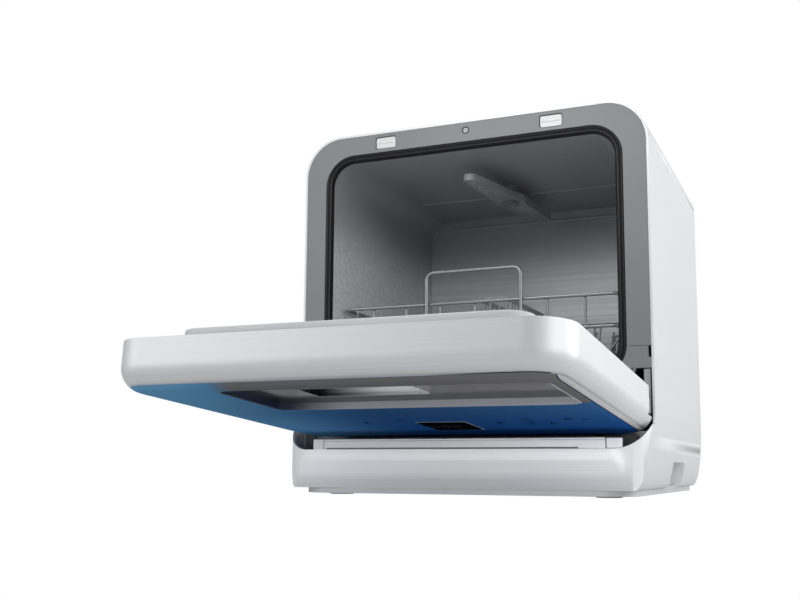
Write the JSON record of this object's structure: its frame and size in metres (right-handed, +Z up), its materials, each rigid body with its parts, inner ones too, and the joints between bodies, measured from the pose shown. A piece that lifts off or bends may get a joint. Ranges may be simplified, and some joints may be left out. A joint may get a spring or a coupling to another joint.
{
  "type": "countertop dishwasher",
  "caption": "Compact dishwasher for a countertop with a round-cornered casing, a drop-down glass door on hull-shaped shoulders and a wire rack that rolls out of a dark tub.",
  "frame": {"origin": "on the table, under the middle of the whole as it stands with its door open", "axes": "+X to the right seen from the front, +Y to the rear, +Z up"},
  "size_m": [0.42, 0.7246, 0.432],
  "materials": {
    "casing_white": "satin",
    "tray_plastic": "matt",
    "rubber": "matt",
    "frame_grey": "satin",
    "tub_steel": "brushed",
    "screw_steel": "bright",
    "sill_silver": "satin",
    "hinge_metal": "satin",
    "latch_white": "gloss",
    "rail_plastic": "matt",
    "sump_plastic": "matt",
    "filter_steel": "bright",
    "filter_plastic": "matt",
    "pump_grey": "matt",
    "heater_steel": "bright",
    "board_green": "matt",
    "arm_grey": "satin",
    "glass_blue": "gloss",
    "window_grey": "gloss",
    "handle_silver": "satin",
    "display_black": "gloss",
    "liner_white": "satin",
    "pane_clear": "gloss",
    "cup_grey": "satin",
    "wire_grey": "satin",
    "basket_grey": "satin",
    "roller_grey": "satin"
  },
  "bodies": {
    "cabinet": {"outer_shell": "casing_white", "base_tray": "tray_plastic", "rubber_feet": "rubber", "front_frame": "frame_grey", "door_seal": "rubber", "tub": "tub_steel", "rear_cover": "tray_plastic", "rear_screws": "screw_steel", "hinge_sill": "sill_silver", "hinge_bracket_left": "hinge_metal", "hinge_bracket_right": "hinge_metal", "frame_screw": "screw_steel", "rail_left": "rail_plastic", "rail_right": "rail_plastic", "sump": "sump_plastic", "filter_mesh": "filter_steel", "wash_pump": "pump_grey", "drain_pump": "pump_grey", "water_heater": "heater_steel", "inlet_valve": "latch_white", "riser_pipe": "sump_plastic", "drain_pipe": "sump_plastic", "power_board": "board_green", "mains_inlet": "rubber", "inlet_connector": "latch_white", "drain_connector": "sump_plastic", "lower_spray_hub": "rail_plastic", "upper_spray_hub": "rail_plastic"},
    "door": {"door_shell": "casing_white", "control_glass": "glass_blue", "window_bezel": "sill_silver", "door_window": "window_grey", "handle_cup": "handle_silver", "display": "display_black", "control_board": "board_green", "door_liner": "liner_white", "liner_window": "pane_clear", "detergent_cup": "cup_grey", "hinge_blocks": "hinge_metal", "striker_plates": "screw_steel", "liner_screws": "screw_steel"},
    "rack": {"rack_rims": "wire_grey", "rack_handle": "wire_grey", "rack_long_wires": "wire_grey", "rack_cross_wires": "wire_grey", "plate_tines": "wire_grey", "bowl_tines": "wire_grey", "cutlery_basket": "basket_grey", "roller_axles": "wire_grey"},
    "roller_front_left": {"roller_front_left": "roller_grey"},
    "roller_front_right": {"roller_front_right": "roller_grey"},
    "roller_rear_left": {"roller_rear_left": "roller_grey"},
    "roller_rear_right": {"roller_rear_right": "roller_grey"},
    "lower_arm": {"lower_spray_arm": "arm_grey"},
    "upper_arm": {"upper_spray_arm": "arm_grey"},
    "coarse_filter": {"filter_cup": "filter_plastic"},
    "latch_left": {"catch_left": "latch_white"},
    "latch_right": {"catch_right": "latch_white"},
    "detergent_lid": {"detergent_lid": "latch_white"},
    "rinse_cap": {"rinse_cap": "cup_grey"}
  },
  "joints": [
    {"name": "door_hinge", "type": "hinge", "parent": "cabinet", "child": "door", "pos_m": [0, -0.0273, 0.0949], "axis": [1, 0, 0], "range_deg": [-85, 0]},
    {"name": "rack_slide", "type": "slide", "parent": "cabinet", "child": "rack", "axis": [0, -1, 0], "range_m": [0, 0.262]},
    {"name": "roller_front_left_spin", "type": "hinge", "parent": "rack", "child": "roller_front_left", "pos_m": [-0.1635, 0.053, 0.1599], "axis": [1, 0, 0], "range_deg": [-5, 1680]},
    {"name": "roller_front_right_spin", "type": "hinge", "parent": "rack", "child": "roller_front_right", "pos_m": [0.1635, 0.053, 0.1599], "axis": [1, 0, 0], "range_deg": [-5, 1680]},
    {"name": "roller_rear_left_spin", "type": "hinge", "parent": "rack", "child": "roller_rear_left", "pos_m": [-0.1635, 0.239, 0.1599], "axis": [1, 0, 0], "range_deg": [-5, 1680]},
    {"name": "roller_rear_right_spin", "type": "hinge", "parent": "rack", "child": "roller_rear_right", "pos_m": [0.1635, 0.239, 0.1599], "axis": [1, 0, 0], "range_deg": [-5, 1680]},
    {"name": "lower_arm_spin", "type": "hinge", "parent": "cabinet", "child": "lower_arm", "pos_m": [0, 0.161, 0.131], "axis": [0, 0, 1], "continuous": true},
    {"name": "upper_arm_spin", "type": "hinge", "parent": "cabinet", "child": "upper_arm", "pos_m": [0, 0.161, 0.38], "axis": [0, 0, 1], "continuous": true},
    {"name": "filter_twist", "type": "hinge", "parent": "cabinet", "child": "coarse_filter", "pos_m": [0, 0.124, 0.112], "axis": [0, 0, 1], "range_deg": [0, 45]},
    {"name": "latch_left_press", "type": "slide", "parent": "cabinet", "child": "latch_left", "axis": [0, 1, 0], "range_m": [0, 0.004], "stiffness_N_per_m": 600},
    {"name": "latch_right_press", "type": "slide", "parent": "cabinet", "child": "latch_right", "axis": [0, 1, 0], "range_m": [0, 0.004], "stiffness_N_per_m": 600},
    {"name": "detergent_lid_slide", "type": "slide", "parent": "door", "child": "detergent_lid", "axis": [1, 0, 0], "range_m": [0, 0.034]},
    {"name": "rinse_cap_turn", "type": "hinge", "parent": "door", "child": "rinse_cap", "pos_m": [0.044, -0.12586, 0.11687], "axis": [0, 0.0872, 0.9962], "range_deg": [0, 90]}
  ],
  "couplings": [
    {"joint": "roller_front_left_spin", "follows": "rack_slide", "rad_per_m": 111.11},
    {"joint": "roller_front_right_spin", "follows": "rack_slide", "rad_per_m": 111.11},
    {"joint": "roller_rear_left_spin", "follows": "rack_slide", "rad_per_m": 111.11},
    {"joint": "roller_rear_right_spin", "follows": "rack_slide", "rad_per_m": 111.11}
  ]
}
